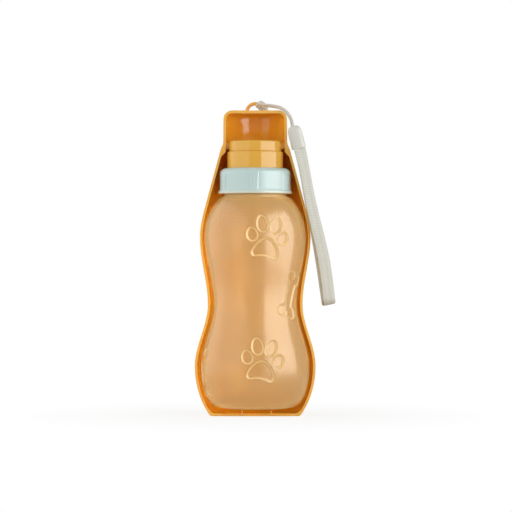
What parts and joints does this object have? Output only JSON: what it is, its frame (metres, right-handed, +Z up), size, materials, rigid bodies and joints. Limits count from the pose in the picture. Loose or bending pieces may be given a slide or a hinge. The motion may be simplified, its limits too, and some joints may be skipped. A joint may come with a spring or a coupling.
{
  "type": "dog travel water bottle",
  "caption": "Squeeze travel water bottle with a screw collar and valved spout, held in a half-shell drinking trough that swings open on two pins, with a wrist strap",
  "frame": {"origin": "on the flat underside of the trough's foot, on the bottle's axis", "axes": "+Z up along the bottle's axis, the open side faces -Y, +X to the viewer's right"},
  "size_m": [0.0975, 0.0802, 0.2229],
  "materials": {
    "bottle_plastic": "frosted translucent squeeze plastic",
    "orange_plastic": "satin, slightly glossy moulded plastic",
    "collar_plastic": "satin moulded plastic, pale mint",
    "silicone": "soft clear-white silicone",
    "strap_plastic": "satin moulded plastic",
    "strap_cord": "round braided cord",
    "strap_webbing": "woven webbing"
  },
  "bodies": {
    "bottle": {"bottle": "bottle_plastic"},
    "head": {"neck_gasket": "silicone", "spout_base": "orange_plastic", "spout_valve": "silicone", "pivot_cap": "orange_plastic"},
    "collar": {"collar": "collar_plastic"},
    "tray": {"tray": "orange_plastic"},
    "strap": {"cord_knot": "strap_cord", "strap_cord": "strap_cord", "cord_end_cap": "strap_plastic", "strap_webbing": "strap_webbing"}
  },
  "joints": [
    {"name": "head_lift", "type": "slide", "parent": "bottle", "child": "head", "axis": [0, 0, 1], "range_m": [0, 0.002]},
    {"name": "collar_turn", "type": "hinge", "parent": "head", "child": "collar", "pos_m": [0, 0, 0.164], "axis": [0, 0, 1], "range_deg": [0, 225]},
    {"name": "tray_pivot", "type": "hinge", "parent": "head", "child": "tray", "pos_m": [0, 0, 0.18866], "axis": [1, 0, 0], "range_deg": [0, 125]},
    {"name": "strap_swing", "type": "hinge", "parent": "tray", "child": "strap", "pos_m": [0, 0.0192, 0.21951], "axis": [-1, 0, 0], "range_deg": [0, 125]}
  ],
  "couplings": [
    {"joint": "collar_turn", "follows": "head_lift", "rad_per_m": 1963.5}
  ]
}
